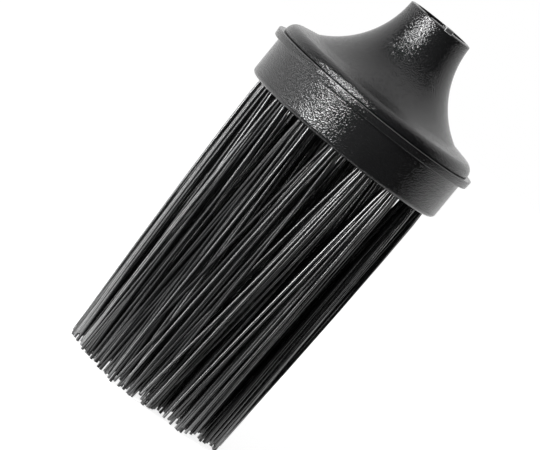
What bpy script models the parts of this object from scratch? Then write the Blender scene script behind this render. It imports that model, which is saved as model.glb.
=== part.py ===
"""Corner brush head: a bell-shaped socket moulding snapped on to a round brush block, which is
drilled and set with rings of tufts. Each tuft of stiff filament is folded over a flat wire anchor
that bites into the walls of its hole.

Metres, +Z up along the brush's axis. The brush stands on its trimmed tips at z = 0, and the mouth
of the handle socket faces up.
"""

import math
import random

import bmesh
import bpy
from mathutils import Matrix, Vector

MM = 0.001

# Driving sizes
BRISTLE_LENGTH = 80.1 * MM  # from the drilled face to the trimmed tips
SKIRT_RADIUS = 29.1 * MM
BORE_RADIUS = 7.7 * MM  # of the handle socket
WALL = 2 * MM  # of the bell's shell

# The gap left between pieces that touch, and how far cutters run past what they cut
CLEARANCE = 0.3 * MM
OVERRUN = 1 * MM

# How finely round shapes are faceted
TURN_STEPS = 40
HOLE_STEPS = 12
FLARE_STEPS = 9
ROUND_STEPS = 3
SMOOTH_ANGLE = math.radians(35)
WELD = 0.0001 * MM

# Brush block
HOLE_DEPTH = 8 * MM
FLOOR_WALL = 2 * MM  # between the blind holes and the groove above them
GROOVE_DEPTH = 3 * MM  # takes the bell's spigot
SEAT_HEIGHT = 1.2 * MM  # boss that centres the socket tube, and on which the handle's end rests
RIM_WALL = 1.6 * MM
FLANGE_THICKNESS = 2.15 * MM
FLANGE_REACH = 1.75 * MM
FLANGE_EDGE = 0.3 * MM
SKIRT_ROUND = 1.1 * MM

# Socket bell
NECK_WALL = 1.6 * MM
FLARE_SWEEP = math.radians(62)
SHOULDER_OVERHANG = 0.15 * MM  # how far the shoulder stands past the skirt
SHOULDER_TREAD = 6.9 * MM  # from the end of the flare out to the shoulder's edge
SHOULDER_DROP = 3.9 * MM  # from the end of the flare to the seam
SHOULDER_ROUND = 2.75 * MM
SHOULDER_LAND = 0.2 * MM
MOUTH_ROUND = 0.3 * MM
MOUTH_CHAMFER = 0.2 * MM
SPIGOT_WALL = 1.8 * MM
SNAP_HEIGHT = 0.5 * MM
HOLLOW_ROOT = 1 * MM  # flat top of the hollow beside the socket tube
RIB_COUNT = 4
RIB_THICKNESS = 1.6 * MM  # of the upright ribs, and of the ring that they cross
RIB_SINK = 0.5 * MM  # how far a rib runs into the walls that it joins
RIB_RISE = 1.2 * MM  # from the seam to a rib's lower edge

# Lug and notch on the rim of the mouth
LUG_ANGLE = math.radians(-73.9)
LUG_WIDTH = 2.2 * MM
LUG_RISE = 0.75 * MM
LUG_DROP = 0.5 * MM
LUG_PROUD = 0.25 * MM
LUG_BEVEL = 0.3 * MM
NOTCH_ANGLE = math.radians(-116)
NOTCH_WIDTH = 1.8 * MM
NOTCH_DEPTH = 0.3 * MM

# Rings of tufts. The shares are of the outer ring's radius
RING_NAMES = ("outer", "middle", "inner")
RING_COUNTS = (16, 9, 3)
RING_SHARES = (1.0, 0.61, 0.25)
RING_TURNS = (math.radians(-2), math.radians(4), math.radians(104))

# Tufts
TUFT_HOLE_RADIUS = 2.4 * MM
EDGE_WALL = 2.6 * MM  # between the outer holes and the skirt
STRAND_RADIUS = 0.52 * MM  # from the middle of a three-sided strand to its corners
TIP_FIELD_RADIUS = 23.9 * MM
TIP_MARGIN = 0.65 * MM  # kept round each tuft's strands at the tips
TRIM_DEPTH = 0.5 * MM  # cut off the longest strands, so that the tips stand flat
RAGGEDNESS = 1.7 * MM
SWAY = 0.22 * MM  # how far a strand's tip may stray each way
ROOT_SIDES = 8
INNER_CELL_SHARE = 0.6  # how far out the inner cells reach, of the root's radius
CELL_INSET = 0.04 * MM
SEED = 7

# Anchors
ANCHOR_BITE = 0.4 * MM  # into the hole's wall, at each end
ANCHOR_HEIGHT = 1.6 * MM
ANCHOR_THICKNESS = 0.4 * MM
FOLD = 1 * MM  # the bend of the tuft over its anchor

# Radii that follow. The flare sweeps from the neck out to the shoulder's tread
NECK_RADIUS = BORE_RADIUS + NECK_WALL
SEAT_RADIUS = BORE_RADIUS - CLEARANCE
SHOULDER_RADIUS = SKIRT_RADIUS + SHOULDER_OVERHANG
FLARE_REACH = SHOULDER_RADIUS - SHOULDER_TREAD - NECK_RADIUS
FLARE_RADIUS = FLARE_REACH / (1 - math.cos(FLARE_SWEEP))
FLARE_CENTRE = NECK_RADIUS + FLARE_RADIUS
GROOVE_RADIUS = SKIRT_RADIUS - RIM_WALL
SPIGOT_RADIUS = GROOVE_RADIUS - CLEARANCE
SPIGOT_BORE = SPIGOT_RADIUS - SPIGOT_WALL
GROOVE_INNER_RADIUS = SPIGOT_BORE - CLEARANCE
RIB_RING_RADIUS = (NECK_RADIUS + SPIGOT_BORE) / 2
OUTER_RING_RADIUS = SKIRT_RADIUS - EDGE_WALL - TUFT_HOLE_RADIUS
ROOT_RADIUS = TUFT_HOLE_RADIUS - CLEARANCE

# Heights that follow
GROOVE_FLOOR = HOLE_DEPTH + FLOOR_WALL
BLOCK_HEIGHT = GROOVE_FLOOR + GROOVE_DEPTH
FACE_Z = BRISTLE_LENGTH
BELL_Z = FACE_Z + BLOCK_HEIGHT + CLEARANCE
BELL_HEIGHT = SHOULDER_DROP + FLARE_RADIUS * math.sin(FLARE_SWEEP)
SNAP_DROP = GROOVE_DEPTH / 2  # from the seam to the middle of the snap ridge

# Anchor sizes that follow, the height measured from the drilled face
ROOT_LENGTH = HOLE_DEPTH - CLEARANCE
ANCHOR_LENGTH = 2 * (TUFT_HOLE_RADIUS + ANCHOR_BITE)
ANCHOR_MIDDLE = ROOT_LENGTH - FOLD - CLEARANCE - ANCHOR_HEIGHT / 2


def clear_scene():
    for thing in list(bpy.data.objects):
        bpy.data.objects.remove(thing, do_unlink=True)


def material(name, colour, roughness, metallic=0.0):
    made = bpy.data.materials.new(name)
    made.use_nodes = True
    shader = made.node_tree.nodes["Principled BSDF"]
    shader.inputs["Base Color"].default_value = (*colour, 1)
    shader.inputs["Roughness"].default_value = roughness
    shader.inputs["Metallic"].default_value = metallic
    made.diffuse_color = (*colour, 1)
    return made


def place_object(name, mesh, parent, location, turn=0.0):
    made = bpy.data.objects.new(name, mesh)
    made.parent = parent
    made.location = location
    made.rotation_euler = (0, 0, turn)
    bpy.context.scene.collection.objects.link(made)
    return made


def mesh_of(name, shape, finish=None):
    """Makes a mesh from a bmesh, shaded smooth but for its sharp edges."""
    bmesh.ops.recalc_face_normals(shape, faces=shape.faces)
    mesh = bpy.data.meshes.new(name)
    shape.to_mesh(mesh)
    shape.free()
    mesh.shade_smooth()
    mesh.set_sharp_from_angle(angle=SMOOTH_ANGLE)
    if finish:
        mesh.materials.append(finish)
    return mesh


def helper(name, shape, parent, height):
    """A cutter, or a shape that is joined to another one: it isn't a piece of the brush."""
    made = place_object(name, mesh_of(name, shape), parent, (0, 0, height))
    made.hide_render = True
    made.display_type = "WIRE"
    return made


def boolean(target, other, operation):
    modifier = target.modifiers.new(other.name, "BOOLEAN")
    modifier.operation = operation
    modifier.solver = "EXACT"
    modifier.object = other


def arc(centre, radius, start, end, steps):
    """Points along an arc in the plane of radius and height. Angles count from outwards to up."""
    angles = [start + (end - start) * i / steps for i in range(steps + 1)]
    return [
        (centre[0] + radius * math.cos(a), centre[1] + radius * math.sin(a))
        for a in angles
    ]


def turned(profile, closed):
    """Turns (radius, height) points about Z. An open profile gets a flat face at each end."""
    shape = bmesh.new()
    corners = [shape.verts.new((r, 0, z)) for r, z in profile]
    ends = corners[1:] + corners[:1] if closed else corners[1:]
    sides = [shape.edges.new(pair) for pair in zip(corners, ends)]
    bmesh.ops.spin(
        shape,
        geom=corners + sides,
        cent=(0, 0, 0),
        axis=(0, 0, 1),
        angle=math.tau,
        steps=TURN_STEPS,
        use_merge=True,
    )
    bmesh.ops.remove_doubles(shape, verts=shape.verts, dist=WELD)
    rims = [edge for edge in shape.edges if edge.is_boundary]
    if rims:
        bmesh.ops.holes_fill(shape, edges=rims, sides=0)
    return shape


def add_box(shape, size, place):
    """Adds a box of this size to a bmesh, at the place that a matrix gives."""
    bmesh.ops.create_cube(shape, size=1, matrix=place @ Matrix.Diagonal((*size, 1)))


def radial_place(radius, angle, height):
    """A frame at this radius, angle and height, with its X axis outwards."""
    return Matrix.Rotation(angle, 4, "Z") @ Matrix.Translation((radius, 0, height))


def tuft_places():
    """Each tuft's ring, number in the ring, radius and angle."""
    places = []
    rings = zip(RING_NAMES, RING_COUNTS, RING_SHARES, RING_TURNS)
    for ring, count, share, turn in rings:
        for i in range(count):
            angle = turn + math.tau * i / count
            places.append((ring, i + 1, OUTER_RING_RADIUS * share, angle))
    return places


def least_pitch(places):
    """The least distance between the middles of two holes."""
    points = [Vector((r * math.cos(a), r * math.sin(a))) for _, _, r, a in places]
    return min((p - q).length for i, p in enumerate(points) for q in points[i + 1 :])


def block_profile():
    """The block's outline, from the seat on its top outwards and down to the drilled face."""
    skirt_height = BLOCK_HEIGHT - FLANGE_THICKNESS
    flange = SKIRT_RADIUS + FLANGE_REACH
    snap = BLOCK_HEIGHT - SNAP_DROP
    return [
        (SEAT_RADIUS, BLOCK_HEIGHT + SEAT_HEIGHT),
        (SEAT_RADIUS, BLOCK_HEIGHT),
        (GROOVE_INNER_RADIUS, BLOCK_HEIGHT),
        (GROOVE_INNER_RADIUS, GROOVE_FLOOR),
        (GROOVE_RADIUS, GROOVE_FLOOR),
        (GROOVE_RADIUS, snap - SNAP_HEIGHT),
        (GROOVE_RADIUS + SNAP_HEIGHT, snap),
        (GROOVE_RADIUS, snap + SNAP_HEIGHT),
        (GROOVE_RADIUS, BLOCK_HEIGHT),
        (flange - FLANGE_EDGE, BLOCK_HEIGHT),
        (flange, BLOCK_HEIGHT - FLANGE_EDGE),
        (flange, skirt_height + FLANGE_EDGE),
        (flange - FLANGE_EDGE, skirt_height),
        (SKIRT_RADIUS, skirt_height),
    ] + arc(
        (SKIRT_RADIUS - SKIRT_ROUND, SKIRT_ROUND),
        SKIRT_ROUND,
        0,
        math.radians(-90),
        ROUND_STEPS,
    )


def shoulder():
    """The round's middle, and the angle where the cone from the end of the flare runs on to it."""
    end = FLARE_CENTRE - FLARE_RADIUS * math.cos(FLARE_SWEEP)
    centre = SHOULDER_RADIUS - SHOULDER_ROUND
    across = end - centre
    up = SHOULDER_DROP - SHOULDER_LAND
    touch = math.atan2(up, across) - math.acos(SHOULDER_ROUND / math.hypot(across, up))
    return (centre, SHOULDER_LAND), touch


def hollow_curve(wall, start, end, steps):
    """The inside of the flared shell from one radius out to another, for this wall thickness."""
    reach = FLARE_RADIUS + wall
    angles = [math.pi + math.acos((FLARE_CENTRE - r) / reach) for r in (start, end)]
    return arc((FLARE_CENTRE, BELL_HEIGHT), reach, *angles, steps)


def hollow_rim(wall):
    """Where the inside of the flare ends, and where the inside of the shoulder meets the spigot."""
    reach = FLARE_RADIUS + wall
    flare_end = FLARE_CENTRE - reach * math.cos(FLARE_SWEEP)
    centre, touch = shoulder()
    across = centre[0] + (SHOULDER_ROUND - wall) * math.cos(touch)
    up = centre[1] + (SHOULDER_ROUND - wall) * math.sin(touch)
    meet = SPIGOT_BORE + WALL - wall
    return flare_end, (meet, up - (meet - across) / math.tan(touch))


def bell_profile():
    """The bell's closed outline, from its mouth down the outside and up the inside."""
    mouth = arc(
        (NECK_RADIUS - MOUTH_ROUND, BELL_HEIGHT - MOUTH_ROUND),
        MOUTH_ROUND,
        math.radians(90),
        0,
        ROUND_STEPS,
    )
    flare = arc(
        (FLARE_CENTRE, BELL_HEIGHT),
        FLARE_RADIUS,
        math.pi + math.asin(MOUTH_ROUND / FLARE_RADIUS),
        math.pi + FLARE_SWEEP,
        FLARE_STEPS,
    )
    centre, touch = shoulder()
    foot = -GROOVE_DEPTH
    snap = -CLEARANCE - SNAP_DROP
    spigot = [
        (SHOULDER_RADIUS, 0),
        (SPIGOT_RADIUS, 0),
        (SPIGOT_RADIUS, snap + SNAP_HEIGHT),
        (SPIGOT_RADIUS + SNAP_HEIGHT, snap),
        (SPIGOT_RADIUS, snap - SNAP_HEIGHT),
        (SPIGOT_RADIUS, foot),
        (SPIGOT_BORE, foot),
    ]
    flare_end, meet = hollow_rim(WALL)
    ring_inside = RIB_RING_RADIUS - RIB_THICKNESS / 2
    ring_outside = RIB_RING_RADIUS + RIB_THICKNESS / 2
    steps = FLARE_STEPS // 2
    hollow = (
        [meet]
        + hollow_curve(WALL, flare_end, ring_outside, steps)
        + [(ring_outside, RIB_RISE), (ring_inside, RIB_RISE)]
        + hollow_curve(WALL, ring_inside, NECK_RADIUS + HOLLOW_ROOT, steps)
    )
    tube = [
        (NECK_RADIUS, hollow[-1][1]),
        (NECK_RADIUS, 0),
        (BORE_RADIUS, 0),
        (BORE_RADIUS, BELL_HEIGHT - MOUTH_CHAMFER),
        (BORE_RADIUS + MOUTH_CHAMFER, BELL_HEIGHT),
    ]
    rounded = arc(centre, SHOULDER_ROUND, touch, 0, ROUND_STEPS)
    return mouth + flare[1:] + rounded + spigot + hollow + tube


def rib_shape():
    """Upright ribs that join the socket tube to the shell inside the bell."""
    wall = WALL - RIB_SINK
    inner = NECK_RADIUS - RIB_SINK
    flare_end, meet = hollow_rim(wall)
    roof = hollow_curve(wall, NECK_RADIUS + HOLLOW_ROOT, flare_end, FLARE_STEPS)
    outline = [(inner, RIB_RISE), (inner, roof[0][1])] + roof + [meet, (meet[0], RIB_RISE)]
    shape = bmesh.new()
    for i in range(RIB_COUNT):
        turn = Matrix.Rotation(math.tau * (i + 0.5) / RIB_COUNT, 4, "Z")
        side = shape.faces.new(
            [shape.verts.new(turn @ Vector((r, -RIB_THICKNESS / 2, z))) for r, z in outline]
        )
        grown = bmesh.ops.extrude_face_region(shape, geom=[side])["geom"]
        corners = [part for part in grown if isinstance(part, bmesh.types.BMVert)]
        bmesh.ops.translate(shape, verts=corners, vec=turn @ Vector((0, RIB_THICKNESS, 0)))
    return shape


def notch_shape():
    shape = bmesh.new()
    height = NOTCH_DEPTH + OVERRUN
    add_box(
        shape,
        (NECK_WALL + 2 * OVERRUN, NOTCH_WIDTH, height),
        radial_place(
            BORE_RADIUS + NECK_WALL / 2,
            NOTCH_ANGLE,
            BELL_HEIGHT - NOTCH_DEPTH + height / 2,
        ),
    )
    return shape


def lug_shape():
    shape = bmesh.new()
    depth = NECK_WALL - MOUTH_CHAMFER + LUG_PROUD
    height = LUG_RISE + LUG_DROP
    add_box(
        shape,
        (depth, LUG_WIDTH, height),
        radial_place(
            NECK_RADIUS + LUG_PROUD - depth / 2,
            LUG_ANGLE,
            BELL_HEIGHT - LUG_DROP + height / 2,
        ),
    )
    bmesh.ops.bevel(shape, geom=shape.edges[:], offset=LUG_BEVEL, segments=1, affect="EDGES")
    return shape


def make_bell(root, finish):
    mesh = mesh_of("socket_bell", turned(bell_profile(), True), finish)
    bell = place_object("socket_bell", mesh, root, (0, 0, BELL_Z))
    boolean(bell, helper("bell_ribs", rib_shape(), root, BELL_Z), "UNION")
    boolean(bell, helper("rim_notch", notch_shape(), root, BELL_Z), "DIFFERENCE")
    boolean(bell, helper("rim_lug", lug_shape(), root, BELL_Z), "UNION")


def pocket_shape(places):
    """The room that the anchors take in the tufts' folds and in the walls of the holes."""
    shape = bmesh.new()
    gap = 2 * CLEARANCE
    size = (ANCHOR_THICKNESS + gap, ANCHOR_LENGTH + gap, ANCHOR_HEIGHT + gap)
    for _, _, radius, angle in places:
        add_box(shape, size, radial_place(radius, angle, ANCHOR_MIDDLE))
    return shape


def hole_shape(places):
    """The drilled holes, run out past the drilled face."""
    shape = bmesh.new()
    depth = HOLE_DEPTH + OVERRUN
    for _, _, radius, angle in places:
        bmesh.ops.create_cone(
            shape,
            cap_ends=True,
            segments=HOLE_STEPS,
            radius1=TUFT_HOLE_RADIUS,
            radius2=TUFT_HOLE_RADIUS,
            depth=depth,
            matrix=radial_place(radius, angle, HOLE_DEPTH - depth / 2),
        )
    return shape


def make_block(root, finish, places, pockets):
    mesh = mesh_of("brush_block", turned(block_profile(), False), finish)
    block = place_object("brush_block", mesh, root, (0, 0, FACE_Z))
    boolean(block, helper("tuft_holes", hole_shape(places), root, FACE_Z), "DIFFERENCE")
    boolean(block, pockets, "DIFFERENCE")


def root_cells(shape):
    """Closes a tuft's root above its lower end, which it parts into three-sided cells."""
    turn = math.pi / ROOT_SIDES

    def ring(count, radius, height):
        angles = [turn + math.tau * i / count for i in range(count)]
        return [
            shape.verts.new((radius * math.cos(a), radius * math.sin(a), height))
            for a in angles
        ]

    count = ROOT_SIDES // 2
    rim = ring(ROOT_SIDES, ROOT_RADIUS, 0)
    top = ring(ROOT_SIDES, ROOT_RADIUS, ROOT_LENGTH)
    middle = ring(count, ROOT_RADIUS * INNER_CELL_SHARE, 0)
    hub = shape.verts.new((0, 0, 0))
    shape.faces.new(top)
    for i in range(ROOT_SIDES):
        shape.faces.new((rim[i - 1], rim[i], top[i], top[i - 1]))
    cells = []
    for i in range(count):
        first, second = middle[i - 1], middle[i]
        near, between, far = rim[2 * i - 2], rim[2 * i - 1], rim[2 * i]
        for corners in (
            (hub, first, second),
            (first, near, between),
            (first, between, second),
            (second, between, far),
        ):
            cells.append(shape.faces.new(corners))
    return cells


def tuft_shape(lean, spread, chance):
    """A tuft about its own axis: a root, with a three-sided strand drawn out of each cell."""
    shape = bmesh.new()
    cells = root_cells(shape)
    bmesh.ops.inset_individual(shape, faces=cells, thickness=CELL_INSET)
    for cell in cells:
        middle = cell.calc_center_median()
        reach = sum((corner.co - middle).length for corner in cell.verts) / len(cell.verts)
        for corner in cell.verts:
            corner.co = middle + (corner.co - middle) * STRAND_RADIUS / reach
    for end in bmesh.ops.extrude_discrete_faces(shape, faces=cells)["faces"]:
        middle = end.calc_center_median()
        tip = lean + middle * spread / ROOT_RADIUS
        tip.x += chance.uniform(-SWAY, SWAY)
        tip.y += chance.uniform(-SWAY, SWAY)
        tip.z = max(0, chance.uniform(-TRIM_DEPTH, RAGGEDNESS)) - BRISTLE_LENGTH
        bmesh.ops.translate(shape, verts=end.verts, vec=tip - middle)
    return shape


def make_tufts(root, finish, places, pockets):
    """One tuft for each hole. The field of tufts draws in towards the tips, and each tuft spreads
    there as far as its neighbours leave room.
    """
    half_pitch = least_pitch(places) / 2
    draw_in = (TIP_FIELD_RADIUS + TIP_MARGIN) / (OUTER_RING_RADIUS + half_pitch)
    spread = half_pitch * draw_in - TIP_MARGIN
    chance = random.Random(SEED)
    for ring, number, radius, angle in places:
        lean = Vector((radius * (draw_in - 1), 0, 0))
        name = f"{ring}_tuft_{number:02d}"
        mesh = mesh_of(name, tuft_shape(lean, spread, chance), finish)
        place = radial_place(radius, angle, FACE_Z).translation
        boolean(place_object(name, mesh, root, place, angle), pockets, "DIFFERENCE")


def make_anchors(root, finish, places):
    """One flat wire anchor for each tuft, across its hole."""
    shape = bmesh.new()
    add_box(shape, (ANCHOR_THICKNESS, ANCHOR_LENGTH, ANCHOR_HEIGHT), Matrix.Identity(4))
    mesh = mesh_of("anchor", shape, finish)
    for ring, number, radius, angle in places:
        place = radial_place(radius, angle, FACE_Z + ANCHOR_MIDDLE).translation
        place_object(f"{ring}_anchor_{number:02d}", mesh, root, place, angle)


def main():
    clear_scene()
    moulded = material("moulded_black", (0.030, 0.031, 0.032), 0.42)
    filament = material("filament_black", (0.020, 0.021, 0.022), 0.34)
    steel = material("anchor_steel", (0.62, 0.62, 0.64), 0.3, 1.0)

    root = bpy.data.objects.new("corner_brush", None)
    bpy.context.scene.collection.objects.link(root)
    places = tuft_places()
    pockets = helper("anchor_pockets", pocket_shape(places), root, FACE_Z)
    make_bell(root, moulded)
    make_block(root, moulded, places, pockets)
    make_tufts(root, filament, places, pockets)
    make_anchors(root, steel, places)


main()
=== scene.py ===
"""Corner brush head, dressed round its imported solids: the two black mouldings, the tufts of stiff
filament and their wire anchors, on a plain white studio floor.

Metres, +Z up along the brush's axis. The brush stands on its trimmed tips.
"""

import math
import random
from types import SimpleNamespace

import bmesh
import bpy
from bpy.props import FloatProperty, FloatVectorProperty, IntProperty, PointerProperty
from mathutils import Matrix, Quaternion, Vector


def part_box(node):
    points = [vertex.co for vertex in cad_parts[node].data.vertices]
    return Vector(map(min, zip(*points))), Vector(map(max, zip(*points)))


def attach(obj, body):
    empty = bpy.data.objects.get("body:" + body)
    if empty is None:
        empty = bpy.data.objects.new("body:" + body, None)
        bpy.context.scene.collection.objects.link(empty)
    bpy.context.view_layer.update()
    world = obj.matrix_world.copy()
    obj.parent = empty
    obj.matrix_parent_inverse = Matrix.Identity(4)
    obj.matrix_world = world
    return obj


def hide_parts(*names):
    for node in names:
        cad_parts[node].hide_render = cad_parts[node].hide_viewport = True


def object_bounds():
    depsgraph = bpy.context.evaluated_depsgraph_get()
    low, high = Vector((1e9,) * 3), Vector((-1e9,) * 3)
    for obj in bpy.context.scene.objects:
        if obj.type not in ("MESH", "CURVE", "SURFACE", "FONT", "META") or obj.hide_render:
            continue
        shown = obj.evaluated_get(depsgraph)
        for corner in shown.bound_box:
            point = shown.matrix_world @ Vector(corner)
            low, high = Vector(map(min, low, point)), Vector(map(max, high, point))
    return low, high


bl_info = {
    "name": "Corner Brush Head",
    "version": (1, 0, 0),
    "blender": (4, 5, 0),
    "location": "3D View > Sidebar > Corner Brush",
    "description": "Makes a round corner brush head with its bristles, and a studio to see it in",
    "category": "Object",
}

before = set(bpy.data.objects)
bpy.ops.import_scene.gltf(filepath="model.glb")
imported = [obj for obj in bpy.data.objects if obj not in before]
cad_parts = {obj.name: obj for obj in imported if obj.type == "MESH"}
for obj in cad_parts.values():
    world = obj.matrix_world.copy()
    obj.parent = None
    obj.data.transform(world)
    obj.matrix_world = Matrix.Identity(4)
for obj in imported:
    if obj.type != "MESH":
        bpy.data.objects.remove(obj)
CAD_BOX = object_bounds()

MM = 0.001
RINGS = ("outer", "middle", "inner")

# How finely round shapes are faceted
TURN_STEPS = 192
FLARE_STEPS = 48
ROUND_STEPS = 10
EDGE_STEPS = 4
BEVEL_STEPS = 3
HOLE_SIDES = 32
FLAG_ROWS = 12
FLAG_COLUMNS = 32
SMOOTH_ANGLE = math.radians(32)  # a sharper edge stays sharp in the shading
CORNER_ANGLE = math.radians(20)  # a corner that turns less than this isn't rounded
CORNER_SHARE = 0.4  # the most of a side that one corner's round takes
ROUND_PROFILE = 0.5  # a bevel that is part of a circle

WELD = 0.0001 * MM  # points this close are one, and the floor lies this far under the tips
OVERRUN = 1 * MM  # how far a cutting shape runs past what it cuts
CAP_INSET = 1 * MM  # from the edge of the block's seat in to the flat face that closes it
FLAG_LIFT = 0.5 * MM  # of the dark cloth above the floor

GOLDEN_TURN = math.pi * (3 - math.sqrt(5))  # spreads the filaments of a tuft evenly
LEAST_SHORT = 0.03  # of the raggedness, so that no leaning tip dips below the trimmed plane
CROWDING = 2.0  # power that crowds a filament's bends towards its root
HUMP = 4.0  # makes t (1 - t) one at its middle
ASIDE = ((-1, -1, 0), (1, 1, 0))  # the range of a random step to the side
TIP_STREAM, SHORT_STREAM, BOW_STREAM, TONE_STREAM = 1, 2, 3, 4  # of random numbers

# The bristle tree's inputs that come straight from the bristles' sizes
BRISTLE_COUNTS = ("Filaments", "Sides", "Bends")
BRISTLE_REACHES = (
    "Filament Radius", "Mouth Radius", "Tip Radius", "Field Radius", "Field Shift",
    "Tip Stray", "Bow", "Splay", "Raggedness", "Root Depth", "Draw In",
)

# The mouldings' plastic. Tones multiply a colour, where the noise is lowest and highest
CLOUD_WIDTH = 9 * MM
CLOUD_TONES = (0.75, 1.35)
CLOUD_ROUGHNESS = (0.8, 1.2)  # multiplies the roughness
# Noise that breaks up the pale lug and the painted highlight along the edges
BREAKUP_WIDTH = 0.5 * MM
BREAKUP_TONES = (0.3, 1.5)

# The filaments' plastic. A bump has a strength and a depth
LINE_WIDTH = 0.3 * MM
LINE_STRETCH = (1, 1, 0.04)
LINE_BUMP = (0.25, 0.02 * MM)
LINE_ROUGHNESS = (0.16, 0.34)
FILAMENT_TONES = (0.6, 1.8)
FILAMENT_GLOSS = (0.12, 1.0)
GLOSS_POWER = 1.4
FILAMENT_IOR = 1.65

# The anchors' steel
MARK_WIDTH = 0.4 * MM
MARK_BUMP = (0.2, 0.01 * MM)
MARK_ROUGHNESS = (0.25, 0.4)
MARK_TONES = (0.8, 1.1)

# The stage's paper and velvet
PAPER_WIDTH = 60 * MM
PAPER_TONES = (0.99, 1.01)
VELVET = (0.01, 0.01, 0.01)
WEAVE_WIDTH = 2 * MM
WEAVE_TONES = (0.8, 1.2)

# How many mm to +X the tips of the worn front tufts lean, by the tuft's number in the outer ring
FRONT_LEANS = {8: -0.7, 9: -0.9, 10: -0.7, 11: -1.0, 12: -2.9, 13: -3.6, 14: -0.6, 15: 1.5, 0: 1.9}

# The photographed frame
FRAME_WIDTH_PX = 540
SENSOR_WIDTH_MM = 36
PHOTO_SCALE = 0.2508 * MM  # of one pixel, in the plane of the brush's axis
CAMERA_DISTANCE_PX = 3860
CLIP_RANGE = (0.1, 100)  # of the camera's distance


# Sizes and colours that a user may change


def setting(kind, name, description, default, **limits):
    return kind(name=name, description=description, default=default, **limits)


def offset(*about, **limits):
    return setting(FloatProperty, *about, unit="LENGTH", precision=5, **limits)


def metres(*about):
    return offset(*about, min=0)


def length(name, description, millimetres):
    return metres(name, description, millimetres * MM)


def angle(name, description, degrees):
    return setting(FloatProperty, name, description, math.radians(degrees), subtype="ANGLE")


def count(*about):
    return setting(IntProperty, *about, min=1)


def share(*about):
    return setting(FloatProperty, *about, min=0, max=1, subtype="FACTOR")


def power(*about):
    return setting(FloatProperty, *about, min=0, unit="POWER")


def colour(*about):
    return setting(FloatVectorProperty, *about, min=0, max=1, subtype="COLOR")


class MouldingSizes(bpy.types.PropertyGroup):
    """Sizes of the bell and of the block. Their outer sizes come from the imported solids."""

    clearance: length("Clearance", "Gap between pieces that touch", 0.3)
    seam_gap: length("Seam gap", "Gap that shows between the bell and the block", 0.07)
    edge_round: length("Edge round", "How far back from a corner its round starts", 0.22)
    bore_radius: length("Bore radius", "Radius of the handle socket", 7.7)
    neck_wall: length("Neck wall", "Wall of the neck round the socket", 1.6)
    wall: length("Wall", "Wall of the bell's shell", 2)
    flare_sweep: angle("Flare sweep", "Angle that the flare turns through", 62)
    shoulder_tread: length("Shoulder tread", "From the flare's end to the shoulder's edge", 6.9)
    shoulder_drop: length("Shoulder drop", "From the flare's end down to the seam", 3.9)
    shoulder_round: length("Shoulder round", "Radius of the rounded shoulder", 2.75)
    shoulder_land: length("Shoulder land", "Straight stretch above the seam", 0.2)
    mouth_round: length("Mouth round", "How far in the mouth's outer edge is rounded", 1.2)
    mouth_chamfer: length("Mouth chamfer", "Chamfer inside the mouth", 0.08)
    mouth_drop: length("Mouth drop", "How far down the mouth's outer edge is rounded", 0.45)
    spigot_wall: length("Spigot wall", "Wall of the spigot that enters the block", 1.8)
    snap_height: length("Snap height", "How far the snap ridge stands out", 0.5)
    rim_wall: length("Rim wall", "Wall of the block round its groove", 1.6)
    groove_depth: length("Groove depth", "Depth of the groove that takes the spigot", 3)
    seat_height: length("Seat height", "Height of the boss that centres the socket", 1.2)
    rib_thickness: length("Rib thickness", "Thickness of the ribs inside the bell", 1.6)
    rib_sink: length("Rib sink", "How far a rib runs into the walls that it joins", 0.5)
    rib_rise: length("Rib rise", "From the seam up to a rib's lower edge", 1.2)
    rib_count: count("Ribs", "How many upright ribs stiffen the bell", 4)
    hollow_root: length("Hollow root", "Flat top of the hollow beside the socket", 1)
    flange_reach: length("Flange reach", "How far the flange stands out from the skirt", 1.75)
    flange_thickness: length("Flange thickness", "Thickness of the flange", 2.15)
    flange_draft: length("Flange draft", "How far the flange's face falls in towards its foot", 0.15)
    skirt_round: length("Skirt round", "Radius of the skirt's lower edge", 1.1)
    # The painted highlight along the mouth's outer rim and the flange's top edge: how far it reaches,
    # and how strong it is, where the pale lug is 1
    highlight_reach: length("Wear reach", "How far from an edge the plastic is worn", 0.2)
    painted_edge_highlight: share("Edge wear", "How worn an edge is, where the lug is 1", 0.13)
    hole_radius: length("Hole radius", "Radius of the drilled tuft holes", 2.4)
    hole_depth: length("Hole depth", "Depth of the drilled tuft holes", 8)


class RimSizes(bpy.types.PropertyGroup):
    """Sizes of the lug and the notch on the rim of the mouth."""

    lug_angle: angle("Lug angle", "Where the lug stands, from +X", -73.9)
    lug_width: length("Lug width", "Width of the lug round the rim", 2.3)
    lug_rise: length("Lug rise", "How far the lug stands above the rim", 0.75)
    lug_drop: length("Lug drop", "How far the lug runs down the neck", 0.5)
    lug_proud: length("Lug proud", "How far the lug stands out of the neck", 0.25)
    lug_bevel: length("Lug bevel", "Bevel of the lug's edges", 0.15)
    notch_angle: angle("Notch angle", "Where the notch is cut, from +X", -116)
    notch_width: length("Notch width", "Width of the notch round the rim", 1.8)
    notch_depth: length("Notch depth", "Depth of the notch below the rim", 0.3)


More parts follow.
